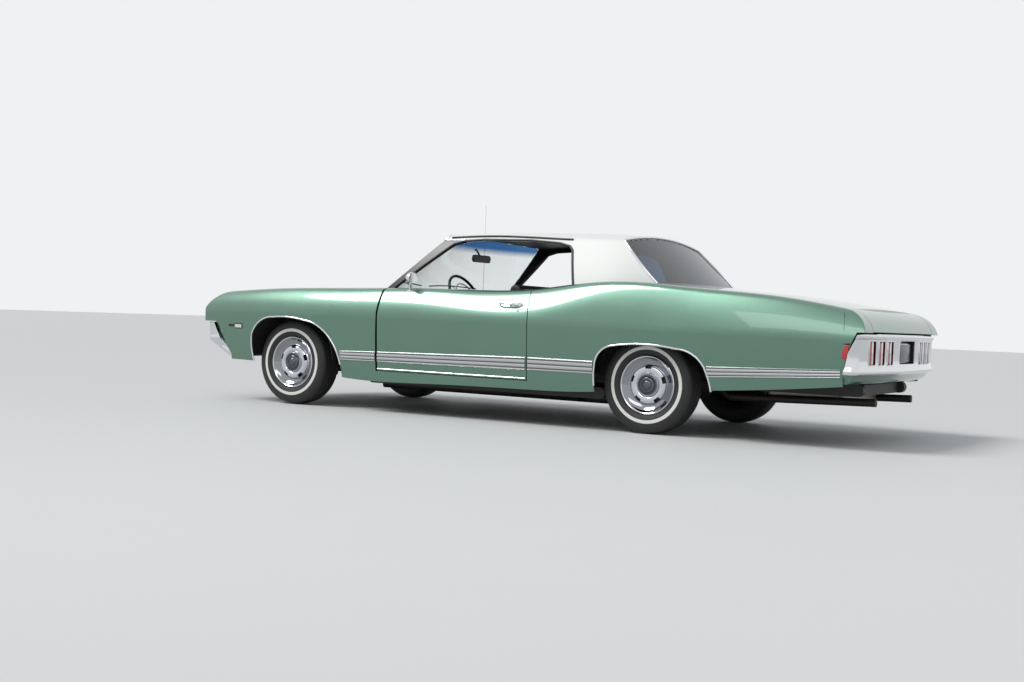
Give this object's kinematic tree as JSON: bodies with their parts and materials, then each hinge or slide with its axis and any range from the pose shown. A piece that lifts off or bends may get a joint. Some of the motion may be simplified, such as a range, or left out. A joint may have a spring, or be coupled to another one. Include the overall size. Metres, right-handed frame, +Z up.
{
  "type": "full-size two-door hardtop car",
  "caption": "Full-size two-door hardtop car with formal vinyl roof, opening doors, hood and trunk lid, steered front wheels and chrome bumpers.",
  "frame": {"origin": "on the ground at the middle of the car's length, on its centre plane", "axes": "+X forward, +Y to the car's left, +Z up"},
  "size_m": [5.453, 2.024, 1.6899],
  "materials": {
    "paint": "metallic gloss",
    "vinyl": "grained",
    "chrome": "polished",
    "glass": "clear",
    "tyre": "matt",
    "wheel_steel": "polished",
    "trim": "satin",
    "black_plastic": "matt",
    "red_lens": "gloss",
    "clear_lens": "gloss",
    "black_steel": "satin",
    "iron": "painted",
    "exhaust_steel": "satin"
  },
  "bodies": {
    "body": {"antenna": "exhaust_steel", "body_side_left": "paint", "body_side_right": "paint", "chassis_frame": "black_steel", "control_arms_left": "black_steel", "control_arms_right": "black_steel", "dashboard": "black_plastic", "driveline": "black_steel", "engine": "iron", "exhaust_left": "exhaust_steel", "exhaust_right": "exhaust_steel", "floor_pan": "black_steel", "front_bumper": "chrome", "front_fender_left": "paint", "front_fender_right": "paint", "front_marker_left": "clear_lens", "front_marker_right": "clear_lens", "front_seat": "trim", "fuel_tank": "black_steel", "grille": "chrome", "headlamp_left": "clear_lens", "headlamp_right": "clear_lens", "interior_mirror": "chrome", "parcel_shelf": "black_plastic", "radiator": "black_steel", "rear_axle": "black_steel", "rear_bumper": "chrome", "rear_deck_panel": "paint", "rear_marker_left": "red_lens", "rear_marker_right": "red_lens", "rear_seat": "trim", "rear_valance": "paint", "rear_window": "glass", "roof": "vinyl", "steering_column": "black_plastic", "tail_lamp_left": "red_lens", "tail_lamp_right": "red_lens", "tail_panel": "paint", "windshield": "glass", "windshield_frame": "paint"},
    "hood": {"hood": "paint"},
    "trunk_lid": {"trunk_lid": "paint"},
    "door_left": {"door_left": "paint", "door_handle_left": "chrome", "door_mirror": "chrome"},
    "door_right": {"door_right": "paint", "door_handle_right": "chrome"},
    "knuckle_left": {"knuckle_left": "black_steel"},
    "knuckle_right": {"knuckle_right": "black_steel"},
    "steering_wheel": {"steering_wheel": "black_plastic"},
    "wheel_front_left": {"wheel_front_left": "wheel_steel", "tyre_front_left": "tyre"},
    "wheel_front_right": {"wheel_front_right": "wheel_steel", "tyre_front_right": "tyre"},
    "wheel_rear_left": {"wheel_rear_left": "wheel_steel", "tyre_rear_left": "tyre"},
    "wheel_rear_right": {"wheel_rear_right": "wheel_steel", "tyre_rear_right": "tyre"}
  },
  "joints": [
    {"name": "hood_hinge", "type": "hinge", "parent": "body", "child": "hood", "pos_m": [1.285, 0, 0.908], "axis": [0, -1, 0], "range_deg": [0, 50]},
    {"name": "trunk_hinge", "type": "hinge", "parent": "body", "child": "trunk_lid", "pos_m": [-1.585, 0, 0.972], "axis": [0, 1, 0], "range_deg": [0, 70]},
    {"name": "door_left_hinge", "type": "hinge", "parent": "body", "child": "door_left", "pos_m": [0.85, 0.96, 0.6], "axis": [0, 0, -1], "range_deg": [0, 65]},
    {"name": "door_right_hinge", "type": "hinge", "parent": "body", "child": "door_right", "pos_m": [0.85, -0.96, 0.6], "axis": [0, 0, 1], "range_deg": [0, 65]},
    {"name": "steer_left", "type": "hinge", "parent": "body", "child": "knuckle_left", "pos_m": [1.7911, 0.728, 0.328], "axis": [0, 0, 1], "range_deg": [-33, 33]},
    {"name": "steer_right", "type": "hinge", "parent": "body", "child": "knuckle_right", "pos_m": [1.7911, -0.728, 0.328], "axis": [0, 0, 1], "range_deg": [-33, 33]},
    {"name": "steering_wheel_turn", "type": "hinge", "parent": "body", "child": "steering_wheel", "pos_m": [0.525, 0.385, 0.88], "axis": [-0.866, 0, 0.5], "range_deg": [-600, 600]},
    {"name": "wheel_front_left_spin", "type": "hinge", "parent": "knuckle_left", "child": "wheel_front_left", "pos_m": [1.7911, 0.793, 0.328], "axis": [0, 1, 0], "continuous": true},
    {"name": "wheel_front_right_spin", "type": "hinge", "parent": "knuckle_right", "child": "wheel_front_right", "pos_m": [1.7911, -0.793, 0.328], "axis": [0, 1, 0], "continuous": true},
    {"name": "wheel_rear_left_spin", "type": "hinge", "parent": "body", "child": "wheel_rear_left", "pos_m": [-1.2315, 0.793, 0.328], "axis": [0, 1, 0], "continuous": true},
    {"name": "wheel_rear_right_spin", "type": "hinge", "parent": "body", "child": "wheel_rear_right", "pos_m": [-1.2315, -0.793, 0.328], "axis": [0, 1, 0], "continuous": true}
  ],
  "couplings": [
    {"joint": "steer_right", "follows": "steer_left", "ratio": 1},
    {"joint": "steering_wheel_turn", "follows": "steer_left", "ratio": 18}
  ]
}
